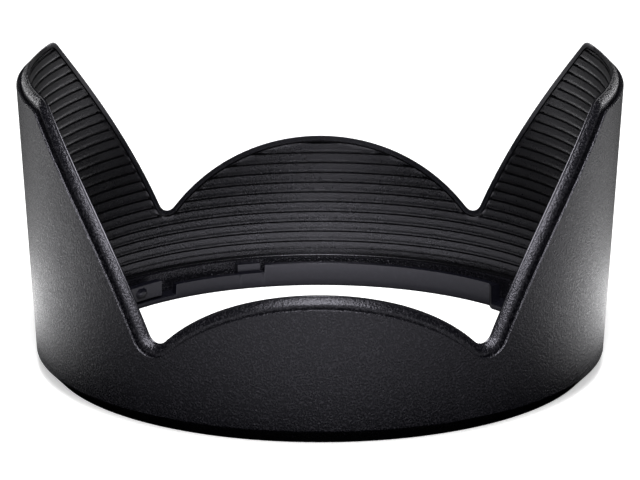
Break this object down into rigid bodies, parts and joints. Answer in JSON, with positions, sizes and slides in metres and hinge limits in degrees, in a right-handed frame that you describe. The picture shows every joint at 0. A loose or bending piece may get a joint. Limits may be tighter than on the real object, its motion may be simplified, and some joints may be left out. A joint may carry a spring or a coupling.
{
  "type": "lens hood",
  "caption": "Petal lens hood with a grained outer shell, ribbed light baffle, sloped rim and a bayonet ring with sprung click arms.",
  "frame": {"origin": "centre of the base, on the flat underside that meets the lens", "axes": "+Z along the optical axis away from the lens, +X through the middle of a long petal, -Y through the middle of the short petal seen from the front"},
  "size_m": [0.087, 0.0842, 0.0434],
  "materials": {
    "outer_shell": "fine grained black moulding",
    "light_baffle": "matt black, coarser grain on the rim",
    "bayonet_ring": "smooth satin black",
    "click_arms": "smooth satin black"
  },
  "bodies": {
    "hood": {"outer_shell": "outer_shell", "light_baffle": "light_baffle", "bayonet_ring": "bayonet_ring"},
    "rear_arm": {"rear_click_arm": "click_arms"},
    "front_arm": {"front_click_arm": "click_arms"}
  },
  "joints": [
    {"name": "rear_arm_flex", "type": "hinge", "parent": "hood", "child": "rear_arm", "pos_m": [-0.03295, 0.01558, 0.0023], "axis": [0, 0, 1], "range_deg": [0, 2.2], "stiffness_Nm_per_rad": 1},
    {"name": "front_arm_flex", "type": "hinge", "parent": "hood", "child": "front_arm", "pos_m": [0.03295, -0.01558, 0.0023], "axis": [0, 0, 1], "range_deg": [0, 2.2], "stiffness_Nm_per_rad": 1}
  ]
}
